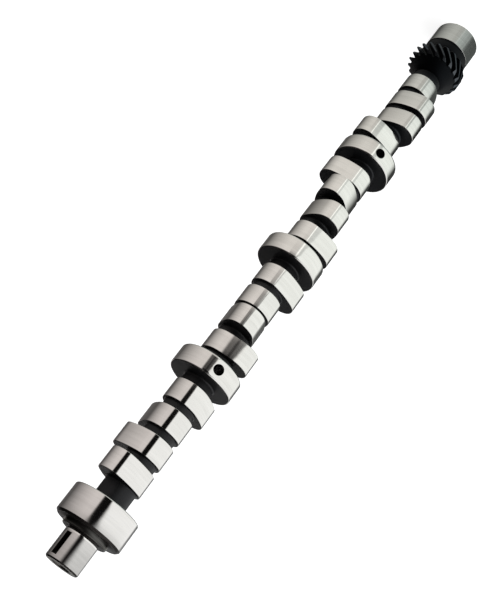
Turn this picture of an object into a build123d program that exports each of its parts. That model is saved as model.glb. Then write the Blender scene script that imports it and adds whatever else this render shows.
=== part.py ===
from build123d import *

import os
from math import acos, atan, atan2, cos, degrees, pi, radians, sin, sqrt, tan

# The camshaft of an overhead-valve V8 with roller lifters, cut from one bar.
# It stands on its rear end: +Z runs along the shaft towards the snout, and the
# origin is the centre of the rear face. Angles are counter-clockwise as seen from
# the front, that is from +Z, with +Y straight up in the engine and cylinder 1 at
# its firing top dead centre. Lengths are in mm, angles in degrees.

# Spacing along the engine
bore_pitch = 113.28             # from one bearing wall to the next
front_journal_lead = 11.3       # journal 1 stands this far ahead of wall 1
rear_journal_lag = 38.7         # journal 5 stands this far behind wall 5
gear_lag = 9.55                 # middle of the gear behind wall 5
lobe_spacing = 22.3             # from one lobe of a group to the next

# Bearing journals, each a little smaller than the one ahead, so the shaft slides
# into its bearings from the front
journal_radii = (25.375, 25.17, 24.98, 24.78)
rear_journal_radius = 19.83
front_journal_width = 21.9
middle_journal_width = 15.2
rear_journal_width = 22.5
front_journal_chamfer = 1.5
journal_chamfer = 0.8

# The turned bar between journals and lobes
core_radius = 12.2
core_fillet = 1.5
neck_radius = 19.2              # between the gear and journal 5

# Snout, with the thrust collar behind it
collar_radius = 17.3
collar_width = 3.5
collar_chamfer = 0.5
snout_radius = 12.7
snout_length = 23.0
snout_chamfer = 0.9
relief_width = 1.4              # grinding relief between snout and collar
relief_depth = 0.6
relief_fillet = 0.7             # where the relief meets the collar
key_width = 4.76                # seat of a Woodruff key, 3/16 by 3/4
key_cutter_radius = 9.525
key_depth = 4.6
key_middle_gap = 11.2           # from the end face to the middle of the key
key_angle = 158.3

# Tapped hole for the bolt of the timing sprocket, 7/16-14
bolt_drill_radius = 4.67
bolt_hole_depth = 32.0
bolt_mouth_radius = 6.4
drill_point_angle = 118.0
centre_angle = 60.0

# Centre hole in the rear face
centre_pilot_radius = 1.6
centre_pilot_depth = 7.5
centre_mouth_radius = 4.0

# Oil holes across journals 2 and 4
oil_hole_radius = 3.97
oil_hole_angle = 100.8
section_angle = 228.3           # of the half sections, clear of the oil holes and the key
oiled_journals = (2, 4)

# Lobe outline: base circle, two flank arcs and a nose arc, all tangent
base_radius = 14.8
lobe_lift = 9.7
nose_radius = 12.0
flank_radius = 47.0
lobe_width = 16.5

# Valve timing
lifter_tilt = 59.0              # of each bank of lifters from the vertical
lobe_separation = 110.0         # between intake and exhaust, on the camshaft
firing_order = (1, 8, 4, 3, 6, 5, 7, 2)
lobe_order = ("1E", "2E", "1I", "2I", "3I", "4I", "3E", "4E",
              "5E", "6E", "5I", "6I", "7I", "8I", "7E", "8E")
lobes_per_bay = 4

# Helical gear that drives the distributor and the oil pump
gear_teeth = 19
gear_normal_pitch = 15          # teeth per inch of pitch diameter, across a tooth
gear_helix_angle = 45.0         # left-hand
gear_pressure_angle = 20.0
gear_width = 14.3
gear_addendum = 1.0             # in modules
gear_dedendum = 1.25
gear_tooth_angle = 182.2        # direction of one tooth at the gear's front
gear_front_bevel = 3.3          # from root to tip, the teeth set back this far
gear_rear_chamfer = 1.5
gear_cone_angle = 45.0          # of the cone from the bar up to the gear
gear_run_out = 3.6              # tooth cuts run this far past both ends

run_out = 1.0                   # other cuts run this far past the surface
match = 0.01                    # edges are told apart by sizes within this

# Derived places along Z
journal_5_top = rear_journal_width
wall_5 = rear_journal_width / 2 + rear_journal_lag
walls = [wall_5 + bore_pitch * (5 - number) for number in (1, 2, 3, 4, 5)]
journal_1_middle = walls[0] + front_journal_lead
journal_1_top = journal_1_middle + front_journal_width / 2
collar_top = journal_1_top + collar_width
snout_top = collar_top + snout_length
gear_middle = wall_5 - gear_lag
gear_bottom = gear_middle - gear_width / 2
gear_top = gear_middle + gear_width / 2

# Derived gear sizes, in the plane across the shaft
helix = radians(gear_helix_angle)
gear_module = 25.4 / gear_normal_pitch
gear_pitch_radius = gear_teeth * gear_module / (2 * cos(helix))
gear_tip_radius = gear_pitch_radius + gear_addendum * gear_module
gear_root_radius = gear_pitch_radius - gear_dedendum * gear_module
gear_transverse_angle = atan(tan(radians(gear_pressure_angle)) / cos(helix))
gear_base_radius = gear_pitch_radius * cos(gear_transverse_angle)
gear_twist_rate = degrees(tan(helix) / gear_pitch_radius)      # degrees per mm


# The plane of the half sections, with the axis in it
turn = radians(section_angle)
section = Plane(
    origin=(0, 0, 0), x_dir=(cos(turn), sin(turn), 0), z_dir=(sin(turn), -cos(turn), 0)
)


def turned(radius, bottom, top, bevel_bottom=0.0, bevel_top=0.0):
    """The half section of a turned step, bevelled at its rims where asked."""
    with BuildSketch(section) as half:
        with Locations((radius / 2, (bottom + top) / 2)):
            Rectangle(radius, top - bottom)
        low_rim, high_rim = half.vertices().group_by(Axis.X)[-1].sort_by(Axis.Y)
        if bevel_bottom:
            chamfer(low_rim, bevel_bottom)
        if bevel_top:
            chamfer(high_rim, bevel_top)
    return half.sketch


def lobe_angle(name):
    """Direction of the nose of a lobe, such as "3E" for exhaust of cylinder 3."""
    cylinder = int(name[0])
    odd_bank = cylinder % 2 == 1
    lifter = 90 - lifter_tilt if odd_bank else 90 + lifter_tilt
    firing = firing_order.index(cylinder) * 360 / len(firing_order)
    half_apart = lobe_separation / 2
    peak = 180 - half_apart if name[1] == "E" else 180 + half_apart
    return lifter + firing + peak


def lobe_outline(plane):
    """Half an outline of three tangent arcs, then its mirror image."""
    nose_centre = base_radius + lobe_lift - nose_radius
    to_base = flank_radius - base_radius
    to_nose = flank_radius - nose_radius
    flank_x = (to_base**2 - to_nose**2 + nose_centre**2) / (2 * nose_centre)
    flank_y = -sqrt(to_base**2 - flank_x**2)
    flank_centre = Vector(flank_x, flank_y)
    base_end = flank_centre * (-base_radius / to_base)
    nose_start = flank_centre + (Vector(nose_centre, 0) - flank_centre) * (
        flank_radius / to_nose
    )
    middle = (base_end + nose_start) / 2 - flank_centre
    flank_middle = flank_centre + middle.normalized() * flank_radius
    base_turn = (180 + degrees(atan2(base_end.Y, base_end.X))) / 2
    nose_turn = degrees(atan2(nose_start.Y, nose_start.X - nose_centre)) / 2
    base_middle = Vector(base_radius, 0).rotate(Axis.Z, base_turn)
    nose_middle = Vector(nose_centre, 0) + Vector(nose_radius, 0).rotate(Axis.Z, nose_turn)
    with BuildSketch(plane) as outline:
        with BuildLine():
            ThreePointArc((-base_radius, 0), base_middle, base_end)
            ThreePointArc(base_end, flank_middle, nose_start)
            ThreePointArc(nose_start, nose_middle, (base_radius + lobe_lift, 0))
            mirror(about=Plane.XZ)
        make_face()
    return outline.sketch


def involute(radius, side):
    """A point of a tooth flank, as an angle from the middle of a tooth space."""
    pressure = acos(gear_base_radius / radius)
    at_pitch = tan(gear_transverse_angle) - gear_transverse_angle
    turned_by = tan(pressure) - pressure - at_pitch
    angle = side * (pi / 2 / gear_teeth + turned_by)
    return (radius * cos(angle), radius * sin(angle))


def tooth_space(bottom):
    """Outline between two teeth, open past the tips."""
    beyond = gear_tip_radius + gear_module / 2
    with BuildSketch(Plane.XY.offset(bottom)) as space:
        with BuildLine():
            for side in (-1, 1):
                ThreePointArc(
                    involute(gear_root_radius, side),
                    involute(gear_pitch_radius, side),
                    involute(beyond, side),
                )
            Line(involute(gear_root_radius, -1), involute(gear_root_radius, 1))
            Line(involute(beyond, -1), involute(beyond, 1))
        make_face()
    return space.sketch


with BuildPart() as camshaft:
    # The bar, from inside journal 5 to inside the collar
    revolve(turned(core_radius, journal_5_top / 2, collar_top), axis=Axis.Z)

    # Journals 1 to 4
    journal_middles = [journal_1_middle] + walls[1:4]
    for radius, middle in zip(journal_radii, journal_middles):
        foremost = middle == journal_1_middle
        width = front_journal_width if foremost else middle_journal_width
        bevel_top = front_journal_chamfer if foremost else journal_chamfer
        step = turned(
            radius, middle - width / 2, middle + width / 2, journal_chamfer, bevel_top
        )
        revolve(step, axis=Axis.Z)

    # Sixteen lobes, four between each pair of journals
    for number, name in enumerate(lobe_order):
        bay, place = divmod(number, lobes_per_bay)
        middle = walls[bay] - bore_pitch / 2
        middle -= (place - (lobes_per_bay - 1) / 2) * lobe_spacing
        nose = radians(lobe_angle(name))
        side = Plane(
            origin=(0, 0, middle - lobe_width / 2),
            x_dir=(cos(nose), sin(nose), 0),
            z_dir=(0, 0, 1),
        )
        extrude(lobe_outline(side), amount=lobe_width)

    # A fillet wherever a side face meets the bar
    corners = camshaft.edges().filter_by(GeomType.CIRCLE)
    corners = corners.filter_by(lambda edge: abs(edge.radius - core_radius) < match)
    corners = corners.filter_by(
        lambda edge: journal_5_top < edge.center().Z < journal_1_top - front_journal_width / 2
    )
    fillet(corners, radius=core_fillet)

    # Collar, relief groove and snout
    revolve(
        turned(collar_radius, journal_1_top, collar_top, 0, collar_chamfer), axis=Axis.Z
    )
    relief_top = collar_top + relief_width
    relief_radius = snout_radius - relief_depth
    revolve(turned(relief_radius, collar_top, relief_top), axis=Axis.Z)
    root = camshaft.edges().filter_by(GeomType.CIRCLE).filter_by(
        lambda edge: abs(edge.radius - relief_radius) < match
        and abs(edge.center().Z - collar_top) < match
    )
    fillet(root, radius=relief_fillet)
    revolve(turned(snout_radius, relief_top, snout_top, 0, snout_chamfer), axis=Axis.Z)

    # Gear blank with its front cone, the neck behind it and journal 5
    cone_height = (gear_root_radius - core_radius) / tan(radians(gear_cone_angle))
    with BuildSketch(section):
        with BuildLine():
            Polyline(
                (0, gear_bottom),
                (gear_tip_radius - gear_rear_chamfer, gear_bottom),
                (gear_tip_radius, gear_bottom + gear_rear_chamfer),
                (gear_tip_radius, gear_top - gear_front_bevel),
                (gear_root_radius, gear_top),
                (core_radius, gear_top + cone_height),
                (0, gear_top + cone_height),
                close=True,
            )
        make_face()
    revolve(axis=Axis.Z)
    revolve(turned(neck_radius, journal_5_top, gear_bottom), axis=Axis.Z)
    rear = turned(rear_journal_radius, 0, journal_5_top, journal_chamfer, journal_chamfer)
    revolve(rear, axis=Axis.Z)

    # Tooth spaces, each a helical cut that runs out past both ends of the gear
    space_bottom = gear_bottom - gear_run_out
    space_height = gear_width + 2 * gear_run_out
    half_tooth = 180 / gear_teeth
    turn_below = gear_twist_rate * (gear_top - space_bottom)
    tooth_cut = Solid.extrude_linear_with_rotation(
        tooth_space(space_bottom).face(),
        center=(0, 0, space_bottom),
        normal=(0, 0, space_height),
        angle=-gear_twist_rate * space_height,
    )
    first_space = gear_tooth_angle + half_tooth + turn_below
    with PolarLocations(0, gear_teeth, start_angle=first_space):
        add(tooth_cut, mode=Mode.SUBTRACT)

    # Key seat, sunk by a disc cutter whose axle lies across the shaft
    cutter_height = snout_radius + key_cutter_radius - key_depth
    key_plane = Plane(
        origin=(
            cutter_height * cos(radians(key_angle)),
            cutter_height * sin(radians(key_angle)),
            snout_top - key_middle_gap,
        ),
        x_dir=(0, 0, 1),
        z_dir=(-sin(radians(key_angle)), cos(radians(key_angle)), 0),
    )
    with BuildSketch(key_plane):
        Circle(key_cutter_radius)
    extrude(amount=key_width / 2, both=True, mode=Mode.SUBTRACT)

    # Tapped hole in the snout, with a drill point and a centring mouth
    mouth_depth = (bolt_mouth_radius - bolt_drill_radius) / tan(radians(centre_angle / 2))
    point_depth = bolt_drill_radius / tan(radians(drill_point_angle / 2))
    with BuildSketch(section):
        with BuildLine():
            Polyline(
                (0, snout_top),
                (bolt_mouth_radius, snout_top),
                (bolt_drill_radius, snout_top - mouth_depth),
                (bolt_drill_radius, snout_top - bolt_hole_depth),
                (0, snout_top - bolt_hole_depth - point_depth),
                close=True,
            )
        make_face()
    revolve(axis=Axis.Z, mode=Mode.SUBTRACT)

    # Centre hole in the rear face
    rear_mouth = (centre_mouth_radius - centre_pilot_radius) / tan(radians(centre_angle / 2))
    pilot_point = centre_pilot_radius / tan(radians(drill_point_angle / 2))
    with BuildSketch(section):
        with BuildLine():
            Polyline(
                (0, 0),
                (centre_mouth_radius, 0),
                (centre_pilot_radius, rear_mouth),
                (centre_pilot_radius, centre_pilot_depth),
                (0, centre_pilot_depth + pilot_point),
                close=True,
            )
        make_face()
    revolve(axis=Axis.Z, mode=Mode.SUBTRACT)

    # Oil holes, drilled straight across
    for number in oiled_journals:
        radius = journal_radii[number - 1]
        across = Plane(
            origin=(0, 0, walls[number - 1]),
            x_dir=(0, 0, 1),
            z_dir=(cos(radians(oil_hole_angle)), sin(radians(oil_hole_angle)), 0),
        )
        with BuildSketch(across):
            Circle(oil_hole_radius)
        extrude(amount=radius + run_out, both=True, mode=Mode.SUBTRACT)

camshaft.part.label = "camshaft"

os.makedirs("parts", exist_ok=True)
export_step(camshaft.part, "parts/camshaft.step")
print("length", round(snout_top, 2), "volume", round(camshaft.part.volume))
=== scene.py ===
# %% [markdown]
# # Camshaft: ground steel on black phosphate
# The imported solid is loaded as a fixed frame, in metres: the shaft stands on its rear
# end, and +Z runs to the snout. The solid is true in size but plain. It could be
# dressed with a bevel and materials, but its faces are loose triangles that a mirror
# finish would show. So three fine meshes take its place: the shaft with its rounded
# rims, the thread of its bolt hole, and the drive gear.

# %% the frame
import math
import bmesh
import bpy
import numpy as np
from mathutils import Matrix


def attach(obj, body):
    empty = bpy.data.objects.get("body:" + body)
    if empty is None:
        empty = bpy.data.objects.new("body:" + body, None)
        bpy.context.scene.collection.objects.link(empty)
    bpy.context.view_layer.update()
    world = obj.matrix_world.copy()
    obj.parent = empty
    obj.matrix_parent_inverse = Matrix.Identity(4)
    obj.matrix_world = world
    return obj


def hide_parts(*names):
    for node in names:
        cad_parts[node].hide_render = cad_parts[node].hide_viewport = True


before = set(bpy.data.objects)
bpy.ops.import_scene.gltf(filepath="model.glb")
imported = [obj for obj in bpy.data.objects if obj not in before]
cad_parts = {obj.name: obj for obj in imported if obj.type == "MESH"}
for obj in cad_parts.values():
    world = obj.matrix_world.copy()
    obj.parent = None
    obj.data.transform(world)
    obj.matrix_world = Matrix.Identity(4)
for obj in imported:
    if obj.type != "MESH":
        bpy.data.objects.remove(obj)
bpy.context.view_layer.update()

MM = 0.001

# %% [markdown]
# ## Camera
# The lens looks down along the shaft from a little above the snout, close enough for
# the near end to look much larger than the far one. Its place is given by its height,
# its distance from the axis and its direction round the shaft, and it is rolled so
# that the shaft lies corner to corner. The shift only centres the picture.

# %% camera
CAMERA_SIDE = 113.3             # direction round the shaft, degrees
CAMERA_DISTANCE, CAMERA_HEIGHT = 0.6459, 0.6197
CAMERA_TURN = (-59.434, 32.731, 41.632)         # degrees
camera_data = bpy.data.cameras.new("camera")
camera_data.lens = 57.57
camera_data.sensor_width = 36.0
camera_data.shift_x = -0.0372
camera_data.shift_y = 0.0057
camera_data.clip_end = 200.0
camera = bpy.data.objects.new("camera", camera_data)
bpy.context.collection.objects.link(camera)
side = math.radians(CAMERA_SIDE)
camera.location = (CAMERA_DISTANCE * math.cos(side), CAMERA_DISTANCE * math.sin(side),
                   CAMERA_HEIGHT)
camera.rotation_euler = [math.radians(angle) for angle in CAMERA_TURN]
bpy.context.scene.camera = camera
print("camera at", [round(v, 4) for v in camera.location])

# %% [markdown]
# ## Sizes
# Lengths are in millimetres and angles in degrees, as the solid has them, with the
# small rims that only the look needs. Radii are named for the part they belong to. The
# meshes are brought to metres as they are made.

# %% sizes
BAY = 113.28                    # from one bearing wall to the next
WALLS = [49.95 + BAY * (5 - n) for n in (1, 2, 3, 4, 5)]
JOURNALS = [(514.37, 21.9, 25.375), (WALLS[1], 15.2, 25.17), (WALLS[2], 15.2, 24.98),
            (WALLS[3], 15.2, 24.78)]            # middle, width, radius
CORE, FILLET, JOURNAL_RIM, FRONT_BEVEL = 12.2, 1.5, 0.8, 1.5
NECK, REAR_JOURNAL, REAR_TOP, REAR_RIM = 19.2, 19.83, 21.7, 0.8
CENTRE_DEPTH, CENTRE_PILOT, CENTRE_MOUTH = 7.5, 1.6, 4.0
CENTRE_CONE = (CENTRE_MOUTH - CENTRE_PILOT) * math.tan(math.radians(60))
COLLAR, COLLAR_TOP = 17.3, 528.82
SNOUT, SNOUT_TOP, RELIEF = 12.7, 551.82, 12.1
BASE, LIFT, NOSE, FLANK = 14.8, 9.7, 12.0, 47.0
LOBE_WIDTH, LOBE_SPACING, LOBE_RIM = 16.5, 22.3, 0.3
HOLE_ANGLE, HOLE_RADIUS = 100.8, 3.97           # oil holes
KEY_ANGLE, KEY_WIDTH, KEY_DEPTH = 158.3, 4.76, 4.6
KEY_CUTTER, KEY_GAP = 9.525, 11.2               # radius of the cutter, place of its axle
THREAD_MAJOR, THREAD_MINOR, THREAD_PITCH, THREAD_LENGTH = 5.55, 4.67, 1.814, 26.0
DRILL_DEPTH, POINT_DEPTH, MOUTH, SINK_ANGLE = 32.0, 34.8, 6.4, 30.0
SLEEVE, SLEEVE_DEPTH = 6.1, 34.0                # wall of the skin behind the thread
END_SMOOTH = (SNOUT - 1.4, 7.9)                 # smooth ring on the snout's end face
TEETH, HELIX, PRESSURE, PITCH_RADIUS = 19, 45.0, 20.0, 22.749
TIP, ROOT = 24.442, 20.632
GEAR_BOTTOM, GEAR_TOP, GEAR_BEVEL, GEAR_CHAMFER = 33.25, 47.55, 3.3, 1.5
TOOTH_ANGLE = 182.2
SIDES = 192                     # columns round the shaft
POLE = 0.02                     # radius of the point that closes an end
AZIMUTH = np.radians(HOLE_ANGLE) + np.arange(SIDES) * 2 * np.pi / SIDES
BRIGHT, BLACK, CUT, TURNED = range(4)           # slots of the shaft's mesh
print("columns", SIDES, "every", 360 / SIDES, "degrees")

# %% [markdown]
# ## Lobe outline
# A lobe lifts the roller that opens one valve. Its outline is a base circle, two broad
# flank arcs and a nose arc, each tangent to the next. It could be drawn as a curve and
# extruded. But seen from the axis every direction meets the outline once, so here it is
# a radius for each direction, and every row of the mesh can share the same columns.
# Which way a lobe points follows from the firing order of the engine.

# %% lobe outline
LOBE_ORDER = ("1E", "2E", "1I", "2I", "3I", "4I", "3E", "4E",
              "5E", "6E", "5I", "6I", "7I", "8I", "7E", "8E")
FIRING = (1, 8, 4, 3, 6, 5, 7, 2)
LIFTER_TILT, LOBE_SEPARATION = 59, 110          # degrees


def nose_angle(name):
    """Direction of a lobe's nose: the lifter bank, plus 45 degrees for each place in
    the firing order, plus half a turn less (exhaust) or more (intake) half the
    separation."""
    cylinder = int(name[0])
    bank = 90 - LIFTER_TILT if cylinder % 2 else 90 + LIFTER_TILT
    half = LOBE_SEPARATION // 2
    turn = 180 - half if name[1] == "E" else 180 + half
    return bank + 45 * FIRING.index(cylinder) + turn


def lobe_radius(nose, inset=0.0):
    """Distance from the axis to the outline in each column. On an arc of radius r
    whose centre lies at distance c, at an angle t away, it is c cos t plus the root
    of r squared less (c sin t) squared; the outline is inset by shrinking the arcs."""
    turn = np.abs((AZIMUTH - np.radians(nose) + np.pi) % (2 * np.pi) - np.pi)
    centre = BASE + LIFT - NOSE
    far, near = FLANK - BASE, FLANK - NOSE
    flank_x = (far**2 - near**2 + centre**2) / (2 * centre)
    flank_y = -math.sqrt(far**2 - flank_x**2)
    flank_to = math.atan2(flank_y, flank_x)
    flank_start = flank_to + math.pi
    nose_from = (np.array([centre - flank_x, -flank_y]) * FLANK / near
                 + np.array([flank_x, flank_y]))
    nose_start = math.atan2(nose_from[1], nose_from[0])

    def arc(radius, distance, direction):
        away = turn - direction
        return distance * np.cos(away) + np.sqrt(
            np.maximum((radius - inset) ** 2 - (distance * np.sin(away)) ** 2, 0))

    flank = arc(FLANK, far, flank_to)
    tip = arc(NOSE, centre, 0.0)
    return np.where(turn > flank_start, BASE - inset,
                    np.where(turn > nose_start, flank, tip))


print("outline from", round(lobe_radius(0).min(), 2), "to", round(lobe_radius(0).max(), 2))

# %% [markdown]
# ## Rows of the shaft
# A camshaft is turned and ground from one bar, so the whole shaft is one skin of rows
# stacked from the rear face to the bolt hole. It could be joined from cylinders, but
# every joint would need its own fillet. A row is a height and a radius for each column,
# and each band between two rows has a finish. Every step up from the bar goes through a
# fillet, up the side face and over a rounded rim, which catches the light on a real one.

# %% rows
rows = []                       # (height, radius of each column, finish of band above)


def add_row(height, radius, finish):
    """One row; a plain number is a circle."""
    rows.append((height, np.broadcast_to(np.asarray(radius, float), (SIDES,)), finish))


def add_step(face, up, radius_at, rim):
    """Rows of one side of a journal or lobe. up is 1 where the rows climb from the bar
    to the land and -1 where they come down. The fillet and the rim are quarter circles,
    a sine out and a cosine along."""
    made = []
    for t in np.linspace(0, np.pi / 2, 5):
        made.append((face - up * FILLET * (1 - math.sin(t)),
                     CORE + FILLET * (1 - math.cos(t)), BLACK))
    made.append((face, radius_at(rim), BRIGHT))
    for t in np.linspace(0, np.pi / 2, 4)[1:]:
        made.append((face + up * rim * (1 - math.cos(t)),
                     radius_at(rim * (1 - math.sin(t))), BRIGHT))
    finishes = [finish for _, _, finish in made[:-1]]
    if up < 0:
        made = made[::-1]
        finishes = finishes[::-1] + [BLACK]
    else:
        finishes = finishes + [BRIGHT]
    for (height, radius, _), finish in zip(made, finishes):
        add_row(height, radius, finish)


def add_land(bottom, top, steps, radius):
    """Rows along a land, between its rims."""
    for height in np.linspace(bottom, top, steps + 1)[1:-1]:
        add_row(height, radius, BRIGHT)


def add_journal(middle, width, radius, steps):
    """Rear side and land of a bearing journal with rounded rims. Gives the height of
    its front side."""
    low, high = middle - width / 2, middle + width / 2
    add_step(low, 1, lambda inset: radius - inset, JOURNAL_RIM)
    add_land(low + JOURNAL_RIM, high - JOURNAL_RIM, steps, radius)
    return high


def add_lobe(middle, nose):
    """A lobe with its nose in that direction."""
    low, high = middle - LOBE_WIDTH / 2, middle + LOBE_WIDTH / 2
    add_step(low, 1, lambda inset: lobe_radius(nose, inset), LOBE_RIM)
    add_land(low, high, 4, lobe_radius(nose))
    add_step(high, -1, lambda inset: lobe_radius(nose, inset), LOBE_RIM)


print("row tools ready")

# %% [markdown]
# ## Rear end, lobes and journals
# The rows start in the centre hole, which held the shaft while it was turned. They run
# out over the rear face, up over journal 5 and the neck, which goes on under the gear,
# then through four bays of four lobes between the bearing walls. The land of journal 5
# has a row close to each rim, so that its mirror stays straight up to them. Loops lay
# the bays, since each is the same but for the way its lobes point.

# %% rear end and bays
for height, radius, finish in ((CENTRE_DEPTH + 0.9, POLE, CUT),
                               (CENTRE_DEPTH, CENTRE_PILOT, CUT),
                               (CENTRE_CONE, CENTRE_PILOT, CUT), (0.0, CENTRE_MOUTH, BLACK),
                               (0.0, REAR_JOURNAL - REAR_RIM, BRIGHT),
                               (0.15, REAR_JOURNAL - 0.5, BRIGHT),
                               (REAR_RIM, REAR_JOURNAL, BRIGHT),
                               (REAR_RIM + 0.2, REAR_JOURNAL, BRIGHT),
                               (11.0, REAR_JOURNAL, BRIGHT),
                               (REAR_TOP - 0.2, REAR_JOURNAL, BRIGHT),
                               (REAR_TOP, REAR_JOURNAL, BLACK),
                               (REAR_TOP + REAR_JOURNAL - NECK, NECK, BLACK),
                               (24.0, NECK, BLACK), (GEAR_BOTTOM + 4, NECK, BLACK),
                               (GEAR_BOTTOM + 4, CORE, BLACK)):
    add_row(height, radius, finish)

OILED, OILED_STEPS = (1, 3), 14     # journals 2 and 4, with a finer land for the hole
windows = []                    # (first row, last row, height, radius) at each oil hole
for bay in (3, 2, 1, 0):
    for place in (3, 2, 1, 0):
        name = LOBE_ORDER[bay * 4 + place]
        add_lobe(WALLS[bay] - BAY / 2 - (place - 1.5) * LOBE_SPACING, nose_angle(name))
    middle, width, radius = JOURNALS[bay]
    if bay:
        high = add_journal(middle, width, radius, OILED_STEPS if bay in OILED else 4)
        if bay in OILED:
            windows.append((len(rows) - OILED_STEPS + 1, len(rows) - 1, middle, radius))
        add_step(high, -1, lambda inset: radius - inset, JOURNAL_RIM)
print("rows so far", len(rows), "oil holes", len(windows))

# %% [markdown]
# ## Front end
# Journal 1 has a broad bevel at the front, and the thrust collar stands against its
# face. A grinding relief parts the collar from the snout, which carries the timing gear
# and its key. The bevel and the end face of the snout are black, as the wheel never
# reached them, with a ring that was turned smooth. The bolt hole's rows only reach its
# mouth and the wall behind the thread, which is a piece of its own.

# %% front end
middle, width, radius = JOURNALS[0]
low, high = middle - width / 2, middle + width / 2
add_step(low, 1, lambda inset: radius - inset, JOURNAL_RIM)
add_land(low + JOURNAL_RIM, high - FRONT_BEVEL, 4, radius)
for height, radius, finish in ((high - FRONT_BEVEL, radius, BLACK),
                               (high - 1.3, radius - 0.08, BLACK),
                               (high - 0.1, radius - 1.35, BLACK), (high, radius - 1.6, BLACK),
                               (high, COLLAR, TURNED), (COLLAR_TOP - 0.5, COLLAR, TURNED),
                               (COLLAR_TOP - 0.1, COLLAR - 0.35, TURNED),
                               (COLLAR_TOP, COLLAR - 0.6, BLACK),
                               (COLLAR_TOP, RELIEF + 0.7, BLACK),
                               (COLLAR_TOP + 0.2, RELIEF + 0.2, BLACK),
                               (COLLAR_TOP + 0.7, RELIEF, BLACK),
                               (COLLAR_TOP + 1.35, RELIEF, BLACK),
                               (COLLAR_TOP + 1.4, SNOUT - 0.15, BRIGHT),
                               (COLLAR_TOP + 1.6, SNOUT, BRIGHT)):
    add_row(height, radius, finish)

key_middle = SNOUT_TOP - KEY_GAP
cutter_height = SNOUT + KEY_CUTTER - KEY_DEPTH
key_half_length = math.sqrt(KEY_CUTTER**2 - (cutter_height - SNOUT) ** 2)
KEY_STEPS = 20
key_first = len(rows)
for height in key_middle + np.linspace(-1, 1, KEY_STEPS + 1) * (key_half_length + 1):
    add_row(height, SNOUT, BRIGHT)
for height, radius, finish in ((SNOUT_TOP - 1.1, SNOUT, BRIGHT),
                               (SNOUT_TOP - 0.95, SNOUT, BLACK),
                               (SNOUT_TOP - 0.8, SNOUT - 0.08, BLACK),
                               (SNOUT_TOP - 0.05, SNOUT - 0.82, BLACK),
                               (SNOUT_TOP, SNOUT - 0.95, BLACK),
                               (SNOUT_TOP, END_SMOOTH[0], TURNED),
                               (SNOUT_TOP, END_SMOOTH[1], BLACK),
                               (SNOUT_TOP, MOUTH + 0.2, BLACK),
                               (SNOUT_TOP - 0.1, MOUTH - 0.02, BLACK),
                               (SNOUT_TOP - 0.52, SLEEVE, CUT),
                               (SNOUT_TOP - SLEEVE_DEPTH, SLEEVE, CUT),
                               (SNOUT_TOP - SLEEVE_DEPTH - 0.1, POLE, CUT)):
    add_row(height, radius, finish)
print("rows", len(rows), "triangles", len(rows) * SIDES * 2)

# %% [markdown]
# ## Normals
# A mirror finish shows every bend of the normals. Plain smooth shading would bend them
# over a whole land, and a Weighted Normal modifier would mend that, but would stay live
# on the piece. So the face normals are summed at each vertex and weighted by area here:
# the wide lands stay true, and only the narrow rims shade round.

# %% normals
def area_normals(mesh):
    """A normal for each vertex: the normals of its faces times their areas, summed and
    brought to length 1."""
    normals = np.empty(len(mesh.polygons) * 3)
    areas = np.empty(len(mesh.polygons))
    totals = np.empty(len(mesh.polygons), np.int32)
    corners = np.empty(len(mesh.loops), np.int32)
    mesh.polygons.foreach_get("normal", normals)
    mesh.polygons.foreach_get("area", areas)
    mesh.polygons.foreach_get("loop_total", totals)
    mesh.loops.foreach_get("vertex_index", corners)
    weighted = np.repeat(normals.reshape(-1, 3) * areas[:, None], totals, axis=0)
    summed = np.stack([np.bincount(corners, weighted[:, axis], len(mesh.vertices))
                       for axis in range(3)], 1)
    return summed / np.maximum(np.linalg.norm(summed, axis=1, keepdims=True), 1e-30)


print("normals ready")

# %% [markdown]
# ## Mesh tools
# `skin` joins rows to quads, and `new_piece` turns arrays into an object in one go,
# which is much faster than adding faces one by one. Each piece stands for the solid,
# rides on its only body, and is made of steel.

# %% mesh tools
def new_piece(name, points, quads, finishes, materials, weld=False):
    """A mesh object from points in millimetres, quads and one slot number a quad."""
    mesh = bpy.data.meshes.new(name)
    mesh.vertices.add(len(points))
    mesh.vertices.foreach_set("co", (np.asarray(points) * MM).ravel())
    mesh.loops.add(quads.size)
    mesh.loops.foreach_set("vertex_index", quads.ravel().astype(np.int32))
    mesh.polygons.add(len(quads))
    mesh.polygons.foreach_set("loop_start", np.arange(len(quads), dtype=np.int32) * 4)
    mesh.polygons.foreach_set("material_index", finishes.astype(np.int32))
    mesh.update(calc_edges=True)
    mesh.validate()
    if weld:
        bm = bmesh.new()
        bm.from_mesh(mesh)
        bmesh.ops.remove_doubles(bm, verts=bm.verts, dist=0.002 * MM)
        bm.to_mesh(mesh)
        bm.free()
    for material in materials:
        mesh.materials.append(material)
    mesh.shade_smooth()
    mesh.normals_split_custom_set_from_vertices(area_normals(mesh))
    piece = bpy.data.objects.new(name, mesh)
    bpy.context.collection.objects.link(piece)
    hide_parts("camshaft")
    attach(piece, "root")
    triangles = len(mesh.loops) - 2 * len(mesh.polygons)
    print(name, len(mesh.vertices), "vertices", triangles, "triangles")
    return piece


def skin(heights, radii, azimuths):
    """Points and quads of stacked rows. A point is the radius times cosine and sine of
    its azimuth, at its height; a quad joins two columns of two rows."""
    count, columns = radii.shape
    points = np.stack([radii * np.cos(azimuths), radii * np.sin(azimuths),
                       np.broadcast_to(heights[:, None], radii.shape)], -1)
    row, column = np.meshgrid(np.arange(count - 1), np.arange(columns), indexing="ij")
    after = (column + 1) % columns
    quads = np.stack([row * columns + column, row * columns + after,
                      (row + 1) * columns + after, (row + 1) * columns + column], -1)
    return points.reshape(-1, 3), quads


print("mesh tools ready")

# %% [markdown]
# ## Openings
# The oil holes and the key seat are cut into the round skin. A Boolean modifier would
# do it, but would leave slivers that show in a mirror. Here a window of quads is taken
# out and filled with rings: three on the surface, one over a narrow rim and the rest
# down the wall. So the opening keeps its own outline, whatever the grid round it is.

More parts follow.
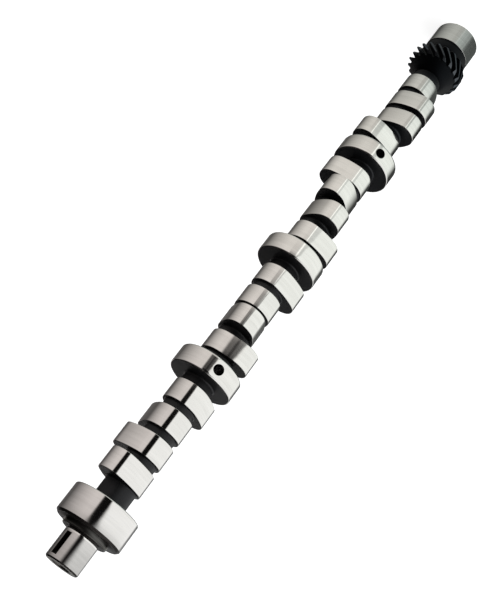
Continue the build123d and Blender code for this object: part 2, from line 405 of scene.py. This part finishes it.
# %% openings
RIM = 0.15                      # the edges are only just broken


def cut_window(points, quads, first, last, left, right, angle, height, radius, target, wall):
    """Gives the points, quads and slots that fill that window with rings, which run from
    its edge to the outline of the opening, over a small rim and down the wall; the
    window's own quads are left out by the caller. `target` gives the outline point that
    belongs to each edge point, grown by some width, and `wall` gives the rings below the
    rim: their shape and their distance from the axis."""
    columns = quads.shape[1]
    around = np.r_[[(first, c) for c in range(left, right)],
                   [(r, right) for r in range(first, last)],
                   [(last, c) for c in range(right, left, -1)],
                   [(r, left) for r in range(last, first, -1)]]
    edge = around[:, 0] * columns + around[:, 1] % columns
    out = np.array([math.cos(angle), math.sin(angle), 0])
    across = np.array([-math.sin(angle), math.cos(angle), 0])
    start = np.stack([points[edge] @ across, points[edge][:, 2] - height], -1)
    rings = []
    for share in (0.35, 0.7, 1.0):
        flat = start + share * (target(start, RIM) - start)
        rings.append((flat, np.sqrt(radius**2 - flat[:, 0] ** 2), BRIGHT))
    flat = target(start, 0.0)
    surface = np.sqrt(radius**2 - flat[:, 0] ** 2)
    rings.append((flat, surface - RIM / 2, BLACK))
    for shape, deep in wall(flat):
        rings.append((shape, np.minimum(deep, surface - RIM / 2), BLACK))
    made, patches, slots, before = [points], [], [], edge
    base = len(points)
    for flat, deep, finish in rings:
        made.append(deep[:, None] * out + flat[:, :1] * across
                    + np.array([0, 0, 1]) * (flat[:, 1:] + height))
        now = base + np.arange(len(edge))
        patches.append(np.stack([before, np.roll(before, -1), np.roll(now, -1), now], -1))
        slots.append(np.full(len(edge), finish))
        before, base = now, base + len(edge)
    return np.concatenate(made), np.concatenate(patches), np.concatenate(slots)


print("opening tools ready")

# %% [markdown]
# ## Materials
# Image textures could carry the finishes, but node materials stay sharp at any distance
# and need no unwrapping. They are built with a few small functions. Colours are written
# as sRGB hex values, and a pattern's scale comes from a real size in millimetres.

# %% material tools
def linear(code):
    """sRGB hex to linear RGB, with alpha 1."""
    parts = [int(code[k:k + 2], 16) / 255 for k in (1, 3, 5)]
    return [v / 12.92 if v <= 0.04045 else ((v + 0.055) / 1.055) ** 2.4 for v in parts] + [1.0]


def set_stops(elements, stops):
    """Places and colours the elements of a colour ramp, from (place, colour) stops."""
    while len(elements) < len(stops):
        elements.new(0.5)
    for element, (place, colour) in zip(elements, stops):
        element.position = place
        element.color = colour if len(colour) == 4 else list(colour) + [1.0]


def add(tree, kind, settings=None, *values, **named):
    """Adds a node with its settings, and sets or links its inputs: the values in the
    order in which the node shows its inputs, the others by name. A node given as a value
    is linked by the first output that it shows."""
    node = tree.nodes.new("ShaderNode" + kind)
    for key, value in (settings or {}).items():
        if key == "stops":
            set_stops(node.color_ramp.elements, value)
        else:
            setattr(node, key, value)
    shown = [socket for socket in node.inputs if socket.enabled]
    pairs = list(zip(shown, values))
    pairs += [(node.inputs[key.replace("_", " ")], value) for key, value in named.items()]
    for socket, value in pairs:
        if isinstance(value, bpy.types.Node):
            value = next(output for output in value.outputs if output.enabled)
        if isinstance(value, bpy.types.NodeSocket):
            tree.links.new(value, socket)
        else:
            socket.default_value = value
    return node


def new_material(name):
    """An empty node material with its shader and output."""
    material = bpy.data.materials.new(name)
    material.use_nodes = True
    tree = material.node_tree
    tree.nodes.clear()
    shader = add(tree, "BsdfPrincipled")
    add(tree, "OutputMaterial", Surface=shader)
    return material, tree, shader


def grinding_lines(tree, across, along, detail=3.0):
    """Noise drawn out round the shaft: fine steps along Z, long ones across."""
    place = add(tree, "TexCoord").outputs["Object"]
    scaled = add(tree, "Mapping", Vector=place, Scale=(1 / across, 1 / across, 1 / along))
    return add(tree, "TexNoise", Vector=scaled, Scale=1.0, Detail=detail, Roughness=0.6)


print("material tools ready")

# %% [markdown]
# ## Ground steel
# The lands and the snout are ground, so they are nearly mirrors, with fine lines round
# the shaft that the wheel leaves. Anisotropy could smear the reflections in their place,
# but would show no single line. So noise drawn out round the shaft goes into the
# roughness and a very slight bump, and a broader one varies the colour. The real lines
# are finer than this, and are drawn as coarse as they need to be seen.

# %% ground steel
ground_steel, tree, shader = new_material("ground steel")
fine = grinding_lines(tree, 60 * MM, 0.25 * MM)
broad = grinding_lines(tree, 40 * MM, 2.5 * MM, 2.0)
shader.inputs["Metallic"].default_value = 1.0
tints = [(0.3, linear("#D8D5D1")), (0.7, linear("#E2DFDB"))]
colour = add(tree, "ValToRGB", {"stops": tints}, broad)
tree.links.new(colour.outputs["Color"], shader.inputs["Base Color"])
rough = add(tree, "MapRange", None, fine, 0.0, 1.0, 0.06, 0.11)
tree.links.new(rough.outputs["Result"], shader.inputs["Roughness"])
bump = add(tree, "Bump", Height=fine, Strength=0.02, Distance=0.01 * MM)
tree.links.new(bump.outputs["Normal"], shader.inputs["Normal"])
print(ground_steel.name, len(tree.nodes), "nodes")

# %% [markdown]
# ## Black phosphate
# This dull crystalline coat is etched into the whole shaft before it is ground, and
# stays in every place the wheel doesn't reach. A flat dark colour would look like paint,
# so fine grain and turning marks make a bump, and patches of some millimetres vary the
# shade. The hue is a little brown at the front and blue towards the rear, so a ramp along
# the shaft colours it. At the rear end, round the gear, the ramp darkens the coat and its
# reflections a great deal, which is painted shade.

# %% black phosphate
TINT = {"data_type": "RGBA", "blend_type": "MULTIPLY"}     # a colour times another


def along_shaft(tree, stops):
    """A colour that changes along the shaft, through (share of its length, sRGB) stops."""
    place = add(tree, "TexCoord").outputs["Object"]
    height = add(tree, "SeparateXYZ", Vector=place).outputs["Z"]
    along = add(tree, "MapRange", None, height, 0.0, SNOUT_TOP * MM)
    shares = [(share, linear(code)) for share, code in stops]
    return add(tree, "ValToRGB", {"stops": shares}, along)


def coat(tree, shader, shade, rear=(0.0, "#E4F2FF"), front="#FFEFE6"):
    """Gives a coat its shade and its hue, which change from rear to front. A dark rear
    stop is painted shade: it darkens both the coat's colour and its reflections.
    """
    hue = along_shaft(tree, (rear, (0.12, "#EAF4FF"), (0.25, "#F3F8FF"), (0.6, "#FFFCFC"),
                             (0.915, "#FAFAFF"), (0.945, front)))
    shaded = add(tree, "Mix", TINT, 1.0, shade, hue)
    tree.links.new(shaded.outputs[2], shader.inputs["Base Color"])
    tree.links.new(hue.outputs["Color"], shader.inputs["Specular Tint"])


black_phosphate, tree, shader = new_material("black phosphate")
place = add(tree, "TexCoord").outputs["Object"]
grain = add(tree, "TexNoise", Vector=place, Scale=1 / (0.35 * MM), Detail=3.0)
blotches = add(tree, "TexNoise", Vector=place, Scale=1 / (7 * MM), Detail=4.0)
turning = grinding_lines(tree, 50 * MM, 0.5 * MM)
tints = [(0.3, linear("#080809")), (0.7, linear("#0F0F10"))]
# The dark rear stop is painted shade round the gear: it darkens the coat and its reflections.
coat(tree, shader, add(tree, "ValToRGB", {"stops": tints}, blotches), rear=(0.105, "#747C84"))
shader.inputs["Metallic"].default_value = 0.0
shader.inputs["Specular IOR Level"].default_value = 0.41
rough = add(tree, "MapRange", None, blotches, 0.0, 1.0, 0.4, 0.54)
tree.links.new(rough.outputs["Result"], shader.inputs["Roughness"])
texture = add(tree, "Math", {"operation": "ADD"}, grain, turning)
bump = add(tree, "Bump", Height=texture, Strength=0.25, Distance=0.02 * MM)
tree.links.new(bump.outputs["Normal"], shader.inputs["Normal"])
print(black_phosphate.name, len(tree.nodes), "nodes")

# %% [markdown]
# ## Cut steel
# The thread and the centre hole are plain steel that a tool has cut, coloured darker
# than the ground steel. They are small and deep, so one noise is enough: it varies the
# colour and makes the bump.

# %% cut steel
cut_steel, tree, shader = new_material("cut steel")
marks = grinding_lines(tree, 2 * MM, 0.6 * MM)
tints = [(0.3, linear("#4E4C4A")), (0.7, linear("#66635F"))]
colour = add(tree, "ValToRGB", {"stops": tints}, marks)
tree.links.new(colour.outputs["Color"], shader.inputs["Base Color"])
shader.inputs["Metallic"].default_value = 1.0
shader.inputs["Roughness"].default_value = 0.35
bump = add(tree, "Bump", Height=marks, Strength=0.2, Distance=0.02 * MM)
tree.links.new(bump.outputs["Normal"], shader.inputs["Normal"])
print(cut_steel.name, len(tree.nodes), "nodes")

# %% [markdown]
# ## Turned black steel
# The collar, the tips of the gear teeth and a ring on the snout's end were turned smooth
# before they were coated, so the coat is thin there and the metal shines through. A mix
# of two shaders could show both, but a dark metal of middle roughness looks the same and
# is simpler.

# %% turned black steel
turned_black, tree, shader = new_material("turned black steel")
fine = grinding_lines(tree, 50 * MM, 0.3 * MM)
shader.inputs["Metallic"].default_value = 1.0
tints = [(0.3, linear("#4C4B4A")), (0.7, linear("#5C5B5A"))]
coat(tree, shader, add(tree, "ValToRGB", {"stops": tints}, fine), front="#FCFBF6")
rough = add(tree, "MapRange", None, fine, 0.0, 1.0, 0.28, 0.4)
tree.links.new(rough.outputs["Result"], shader.inputs["Roughness"])
bump = add(tree, "Bump", Height=fine, Strength=0.15, Distance=0.02 * MM)
tree.links.new(bump.outputs["Normal"], shader.inputs["Normal"])
finishes_of_shaft = [ground_steel, black_phosphate, cut_steel, turned_black]
print("materials", [m.name for m in finishes_of_shaft])

# %% [markdown]
# ## Shapes of the openings
# The oil holes carry oil to the bearings. An oil hole's outline is a circle, and its
# wall runs to the axis, where it meets the one from the other side. The key seat is a
# rectangle, and its floor has the round of the disc cutter that sank it: height of the
# cutter's axle less the height of its circle.

# %% shapes of the openings
def circle(start, grow):
    """Each point moved along its radius onto the oil hole's circle."""
    return start / np.linalg.norm(start, axis=1, keepdims=True) * (HOLE_RADIUS + grow)


def hole_wall(flat):
    """The straight wall down to the shaft's axis."""
    return [(flat, np.full(len(flat), deep)) for deep in (18.0, 12.0, 6.0, 0.0)]


def seat(start, grow):
    """The window's rectangle scaled to the rectangle of the key seat."""
    return start / np.abs(start).max(0) * (KEY_WIDTH / 2 + grow, key_half_length + grow)


def seat_wall(flat):
    """The wall down to the round floor, and the floor in to its middle line."""
    circle_height = np.sqrt(np.maximum(KEY_CUTTER**2 - flat[:, 1] ** 2, 0))
    return [(flat * (share, 1.0), cutter_height - circle_height)
            for share in (1.0, 0.97, 0.5, 0.0)]


HOLE_HALF, KEY_HALF = 7, 9      # half the width of each window, in columns
cuts = []
for first, last, height, radius in windows:
    for column in (0, SIDES // 2):
        cuts.append((first, last, column - HOLE_HALF, column + HOLE_HALF, AZIMUTH[column],
                     height, radius, circle, hole_wall))
key_column = round((KEY_ANGLE - HOLE_ANGLE) / 360 * SIDES)
cuts.append((key_first, key_first + KEY_STEPS, key_column - KEY_HALF, key_column + KEY_HALF,
             math.radians(KEY_ANGLE), key_middle, SNOUT, seat, seat_wall))
print("openings", len(cuts))

# %% [markdown]
# ## Shaft
# The rows become one skin. Its own quads are kept where no window is, and the fillings
# are added. Points that lie on each other, as where two walls meet at the axis, are
# welded at the end, so that the skin has no seam.

# %% shaft
heights = np.array([row[0] for row in rows])
radii = np.stack([row[1] for row in rows])
points, grid = skin(heights, radii, AZIMUTH)
keep = np.ones(grid.shape[:2], bool)
extra_quads, extra_finishes = [], []
for cut in cuts:
    first, last, left, right = cut[:4]
    keep[first:last, np.arange(left, right) % SIDES] = False
    points, filled, slots = cut_window(points, grid, *cut)
    extra_quads.append(filled)
    extra_finishes.append(slots)
band = np.array([row[2] for row in rows[:-1]])
quads = np.concatenate([grid[keep]] + extra_quads)
finishes = np.concatenate([np.repeat(band[:, None], SIDES, 1)[keep]] + extra_finishes)
shaft = new_piece("shaft", points, quads, finishes, finishes_of_shaft, weld=True)

# %% [markdown]
# ## Thread
# The bolt hole is tapped 7/16-14. A Screw modifier could wind the thread, but it would
# not close at the ends. Here the wall's radius follows a triangle wave of depth plus
# turn, flattened at root and crest. It fades out near the bottom of the thread, and
# opens where the countersink cuts it.

# %% thread
THREAD_SIDES = 96
columns = np.arange(THREAD_SIDES) * 2 * np.pi / THREAD_SIDES
depth = np.concatenate([np.linspace(0.5, THREAD_LENGTH, 150),
                        [DRILL_DEPTH - 0.1, DRILL_DEPTH, POINT_DEPTH]])
turns = depth[:, None] / THREAD_PITCH + columns / (2 * np.pi)
wave = np.clip(1.35 - 3.2 * np.abs(turns % 1.0 - 0.5), 0, 1)
fade = np.clip((THREAD_LENGTH - 0.1 - depth) / 2.0, 0, 1)[:, None]
wall = THREAD_MINOR + (THREAD_MAJOR - THREAD_MINOR) * wave * fade
sink = (MOUTH - depth * math.tan(math.radians(SINK_ANGLE)))[:, None]
wall = np.maximum(wall, sink)
wall[-1] = POLE
points, grid = skin(SNOUT_TOP - depth, wall, columns)
grid = grid.reshape(-1, 4)
thread = new_piece("bolt_thread", points, grid, np.zeros(len(grid)), [cut_steel])

# %% [markdown]
# ## Tooth outline
# The gear turns the distributor and the oil pump through a crossed shaft, so its teeth
# are steep and few. One tooth is a list of radii and angles. Its flank is an involute,
# which turns by the tangent of its pressure angle less the angle itself, and small steps
# round the foot and the tip. A gear could come from an add-on, but then its teeth would
# not be these.

# %% tooth outline
transverse = math.atan(math.tan(math.radians(PRESSURE)) / math.cos(math.radians(HELIX)))
base = PITCH_RADIUS * math.cos(transverse)
flank = np.linspace(ROOT + 0.45, TIP - 0.12, 7)
pressure = np.arccos(base / flank)
turned = np.tan(pressure) - pressure - (math.tan(transverse) - transverse)
flank_angle = np.pi / 2 / TEETH - turned          # from the middle of the tooth
half_r = np.r_[ROOT, ROOT, ROOT + 0.1, flank, TIP - 0.03, TIP]
half_a = np.r_[np.pi / TEETH, flank_angle[0] + 0.028, flank_angle[0] + 0.012, flank_angle,
               flank_angle[-1] - 0.006, flank_angle[-1] - 0.014]
tooth_r = np.r_[half_r, TIP, half_r[:0:-1]]
tooth_a = np.r_[-half_a, 0.0, half_a[:0:-1]]
outline_r = np.tile(tooth_r, TEETH)
outline_a = (tooth_a + np.arange(TEETH)[:, None] * 2 * np.pi / TEETH).ravel()
print("points round the gear", len(outline_r))

# %% [markdown]
# ## Drive gear
# Rows turn steadily as they climb, which makes the helix, and the bevels at both ends
# only cap the radius. What the cap cuts off a tooth was turned before the teeth were
# cut, so it has the smoother coat. A cone leads from the front of the teeth to the bar.

# %% gear
twist = math.tan(math.radians(HELIX)) / PITCH_RADIUS
bevel = np.linspace(0, 1, 7)
tall = np.r_[GEAR_BOTTOM, GEAR_BOTTOM, GEAR_BOTTOM + GEAR_CHAMFER * np.array([0.5, 1.0]),
             np.linspace(GEAR_BOTTOM + GEAR_CHAMFER, GEAR_TOP - GEAR_BEVEL, 14)[1:],
             GEAR_TOP - GEAR_BEVEL * (1 - bevel[1:]),
             GEAR_TOP + (ROOT - CORE) * np.array([0.5, 1.0]), GEAR_TOP + ROOT - CORE]
cap = np.r_[POLE, TIP - GEAR_CHAMFER, TIP - GEAR_CHAMFER * 0.5, TIP,
            np.full(13, TIP), TIP - (TIP - ROOT) * bevel[1:],
            ROOT - (ROOT - CORE) * np.array([0.5, 1.0]), POLE]
azimuths = outline_a + math.radians(TOOTH_ANGLE) - twist * (tall[:, None] - GEAR_TOP)
points, grid = skin(tall, np.minimum(outline_r, cap[:, None]), azimuths)
grid = grid.reshape(-1, 4)
SMOOTH_FROM = ROOT + 1.2
reach = np.minimum(outline_r, np.roll(outline_r, -1)) + 0.05
on_tip = (np.maximum(cap[:-1], cap[1:])[:, None] < reach) & (cap[1:, None] > SMOOTH_FROM)
gear = new_piece("drive_gear", points, grid, on_tip.ravel(), [black_phosphate, turned_black])

# %% [markdown]
# ## Floor
# A plain white floor keeps a soft shadow of the shaft. More light could make it white,
# but would burn out the metal. So the camera sees a glow of its own on top of what is
# lit, and polished metal looks past the floor into the studio.

# %% floor
FLOOR_HALF = 60.0               # metres
FLOOR_GLOW = 0.85
floor_mesh = bpy.data.meshes.new("floor")
floor_mesh.from_pydata([(x * FLOOR_HALF, y * FLOOR_HALF, 0)
                        for x, y in ((-1, -1), (1, -1), (1, 1), (-1, 1))], [], [(0, 1, 2, 3)])
floor = bpy.data.objects.new("floor", floor_mesh)
bpy.context.collection.objects.link(floor)
white, tree, shader = new_material("white floor")
shader.inputs["Base Color"].default_value = (0.9, 0.9, 0.9, 1)
shader.inputs["Roughness"].default_value = 1.0
seen = add(tree, "LightPath").outputs["Is Camera Ray"]
glow = add(tree, "Emission", Color=(1, 1, 1, 1), Strength=FLOOR_GLOW)
both = add(tree, "AddShader", None, shader, glow)
pick = add(tree, "MixShader", None, seen, shader, both)
tree.links.new(pick.outputs["Shader"], tree.nodes["Material Output"].inputs["Surface"])
floor_mesh.materials.append(white)
floor.visible_glossy = False
print("floor", FLOOR_HALF * 2, "m wide")

# %% [markdown]
# ## Studio
# Ground metal shows what stands round it: a wide bright softbox on one side of the
# camera, a dimmer one that falls off on the other, and a dark gap between them where
# the camera stands, which becomes a dark line from end to end. Area lamps could be the
# boxes, but their edges are hard to bend. So all the light is in the world, and is
# worked out for each direction from two angles: degrees to the left of the camera,
# round the shaft, and degrees below the horizon.

# %% directions
TIMES, PLUS = {"operation": "MULTIPLY"}, {"operation": "ADD"}
LESS, OVER = {"operation": "SUBTRACT"}, {"operation": "DIVIDE"}
BRIGHTER = {"operation": "MAXIMUM"}             # the brighter of two lights
STEP = {"interpolation_type": "SMOOTHSTEP"}     # inputs: value, low, high, start, end
world = bpy.data.worlds.new("studio")
world.use_nodes = True
tree = world.node_tree
tree.nodes.clear()

direction = add(tree, "TexCoord").outputs["Generated"]
facing = add(tree, "Mapping", Vector=direction, Rotation=(0, 0, -math.radians(CAMERA_SIDE)))
towards, aside, up = add(tree, "SeparateXYZ", None, facing).outputs
turn = add(tree, "Math", {"operation": "ARCTAN2"}, aside, towards)
left = add(tree, "Math", TIMES, turn, 180 / math.pi)  # degrees to the left of the camera
rise = add(tree, "Math", {"operation": "ARCSINE"}, up)
below = add(tree, "Math", TIMES, rise, -180 / math.pi)
quarter = add(tree, "Math", OVER, below, 90.0)        # 0 at the horizon, 1 straight down
print("directions", len(tree.nodes), "nodes")

# %% [markdown]
# ## Two softboxes
# Each edge of a box is a smooth step of the angle round the shaft, and follows the
# angle below the horizon, since softboxes lean. Every pair below is degrees below the
# horizon and a value. `far` and `near` are the edges of the bright box, and the soft
# values beside them say how wide each edge fades. The dim box starts on the other side
# of the gap and falls off towards the back.

# %% two softboxes
def around(value, edge, soft, start=0.0, end=1.0):
    """A smooth step from start to end whose middle lies at an edge: it runs from the
    edge less its softness to the edge plus its softness."""
    low, high = add(tree, "Math", LESS, edge, soft), add(tree, "Math", PLUS, edge, soft)
    return add(tree, "MapRange", STEP, value, low, high, start, end)


def by_depth(unit, *stops):
    """A value that runs straight between (degrees below the horizon, value) stops. A
    ramp only holds 0 to 1, so the values go in as shares of a unit."""
    shares = [(degrees / 90, [value / unit] * 3) for degrees, value in stops]
    return add(tree, "Math", TIMES, add(tree, "ValToRGB", {"stops": shares}, quarter), unit)


far = by_depth(-180, (20, -142), (28, -126), (33, -119), (36, -113), (41, -84),
               (42.6, -50), (44, -48))
far_soft = by_depth(50, (27, 9), (33, 20), (41, 20), (42.6, 36), (44, 36))
near = by_depth(-20, (7, -17), (10, -10), (12, -7), (18, -6), (20, -2), (22, -5),
                (25, -8), (26.5, -9), (28, -13), (31, -18))
near_soft = by_depth(30, (6.4, 26), (8, 14), (10, 6), (12, 3))
softbox = add(tree, "Math", TIMES, around(left, far, far_soft),
              around(left, near, near_soft, 1.0, 0.0))
softbox_level = by_depth(1, (7, 0.6), (9.5, 0.98), (12, 0.93), (38, 0.93), (41, 0.76),
                         (42.6, 0.42), (44, 0.4))

fill_start = by_depth(20, (6.4, 4), (8.5, 14), (10, 18))
fill_end = by_depth(40, (6.4, 38), (8.5, 28), (10, 25))
fill = add(tree, "Math", TIMES, add(tree, "MapRange", STEP, left, fill_start, fill_end),
           by_depth(2, (7, 0.6), (9.5, 1.0), (20, 1.0), (23, 1.08), (33, 1.12), (38, 1.0),
                    (41, 0.9), (44, 0.7)))
half_turn = add(tree, "Math", OVER, left, 180.0)      # 0 towards the camera, 1 behind
fall_off = [(degrees / 180, [value] * 3) for degrees, value in (
    (0, 0.62), (45, 0.62), (60, 0.56), (80, 0.46), (100, 0.33), (120, 0.18), (135, 0.08),
    (155, 0.1), (180, 0.1))]
fill_level = add(tree, "ValToRGB", {"stops": fall_off}, half_turn)
print("softboxes", len(tree.nodes), "nodes")

# %% [markdown]
# ## Gap and spill
# Low down the gap is closed by what the floor throws back, with a thin bright line in
# it and a dark seam above, where only part of the gap is closed. Past the bright box's
# far edge a little light spills round.

# %% gap and spill
gap_level = by_depth(1, (18.5, 0.0), (22, 0.12), (25, 0.28), (26.5, 0.4), (28, 0.6), (30, 0.66),
                     (33, 0.73), (36, 0.66), (38, 0.5), (44, 0.4))
line = add(tree, "Math", TIMES, add(tree, "MapRange", STEP, left, -8, -3),
           add(tree, "MapRange", STEP, left, -3, 2, 1.0, 0.0))
line = add(tree, "Math", TIMES, line, by_depth(1, (25.3, 0.0), (26.3, 0.55), (28, 0.6),
                                               (40, 0.5), (43, 0.1)))
seam = add(tree, "Math", TIMES, add(tree, "MapRange", STEP, left, 3, 8),
           add(tree, "MapRange", STEP, left, 8, 13, 1.0, 0.0))
seam = add(tree, "Math", TIMES, seam, by_depth(1, (23, 0.8), (25, 0.0)))
gap = add(tree, "Math", TIMES, gap_level, add(tree, "Math", LESS, 1.0, seam))
gap = add(tree, "Math", PLUS, gap, line)
gap = add(tree, "Math", TIMES, gap, add(tree, "MapRange", STEP, left, -60, -40))
gap = add(tree, "Math", TIMES, gap, add(tree, "MapRange", STEP, left, 25, 40, 1.0, 0.0))
spill = add(tree, "Math", TIMES, add(tree, "MapRange", STEP, left, -60, -30, 1.0, 0.0),
            by_depth(1, (7, 0.3), (10, 0.17), (20, 0.13), (28, 0.08), (33, 0.04), (36, 0.04),
                     (39, 0.02), (41, 0.08)))
print("gap", len(tree.nodes), "nodes")

# %% [markdown]
# ## Above, behind and below
# The brighter of all these counts in each direction. Above the horizon the light comes
# from the bright box's side, so that side faces shade from right to left. Behind the
# shaft it is dark but for a low band, which gives the side faces their sheen, and
# straight down lies the pale floor.

# %% above, behind and below
light = add(tree, "Math", TIMES, softbox, softbox_level)
light = add(tree, "Math", BRIGHTER, light, spill)
light = add(tree, "Math", BRIGHTER, light, add(tree, "Math", TIMES, fill, fill_level))
beside_box = add(tree, "MapRange", STEP, softbox, 0.5, 0.9, 1.0, 0.0)
light = add(tree, "Math", BRIGHTER, light, add(tree, "Math", TIMES, gap, beside_box))

back = add(tree, "Math", {"operation": "ABSOLUTE"}, left)
behind = add(tree, "Math", TIMES, add(tree, "MapRange", STEP, below, -20, -14, 1.0, 0.0),
             add(tree, "MapRange", STEP, back, 110, 140))
behind = add(tree, "Math", TIMES, behind, add(tree, "MapRange", STEP, below, -75, -55))
upper = add(tree, "MapRange", STEP, left, -50, 20, 1.7, 0.12)
upper = add(tree, "Mix", None, add(tree, "MapRange", STEP, below, -20, -3), upper, 1.0)
shade = add(tree, "Math", TIMES, add(tree, "Math", LESS, 1.0, behind), upper)
light = add(tree, "Math", TIMES, light, shade)
band = add(tree, "Math", TIMES, add(tree, "MapRange", STEP, below, -14, -10),
           add(tree, "MapRange", STEP, below, -3, 0, 0.85, 0.0))
band = add(tree, "Math", TIMES, add(tree, "MapRange", STEP, back, 135, 155), band)
light = add(tree, "Math", BRIGHTER, light, band)
pale_floor = add(tree, "MapRange", STEP, below, 50, 64, 0.0, 0.6)
light = add(tree, "Math", BRIGHTER, light, pale_floor)
print("light", len(tree.nodes), "nodes")

# %% [markdown]
# ## Hue and backdrop
# The bright box is a little cooler than the dim one, and the hue changes slightly with
# height. The camera sees a plain white backdrop in place of the boxes. That could be a
# wall, but the world can do it with a switch: Light Path tells which rays come from the
# camera. Rays from polished metal aren't switched, since the boxes are what it shows.

# %% hue and backdrop
LIGHT_STRENGTH, STRAY_LIGHT = 1.29, 0.004
tints = [(degrees / 90, linear(code)) for degrees, code in (
    (10, "#FFFCFD"), (20, "#FFFDFC"), (30, "#FEFEFB"), (38, "#FDFFFB"), (44, "#F7FFFC"))]
cast = add(tree, "ValToRGB", {"stops": tints}, quarter)
tints = [(0.0, linear("#F7FCFC")), (1.0, linear("#FFFCFA"))]
side = add(tree, "ValToRGB", {"stops": tints}, add(tree, "MapRange", STEP, left, -15, 15))
light = add(tree, "Math", PLUS, light, STRAY_LIGHT)
colour = add(tree, "Mix", TINT, 1.0, light, add(tree, "Mix", TINT, 1.0, side, cast))
studio = add(tree, "Background", Color=colour, Strength=LIGHT_STRENGTH)
backdrop = add(tree, "Background", Color=(1, 1, 1, 1), Strength=1.0)
seen = add(tree, "LightPath").outputs["Is Camera Ray"]
pick = add(tree, "MixShader", None, seen, studio, backdrop)
add(tree, "OutputWorld", Surface=pick)
bpy.context.scene.world = world
bpy.context.scene.view_settings.view_transform = "Standard"
print("studio set")
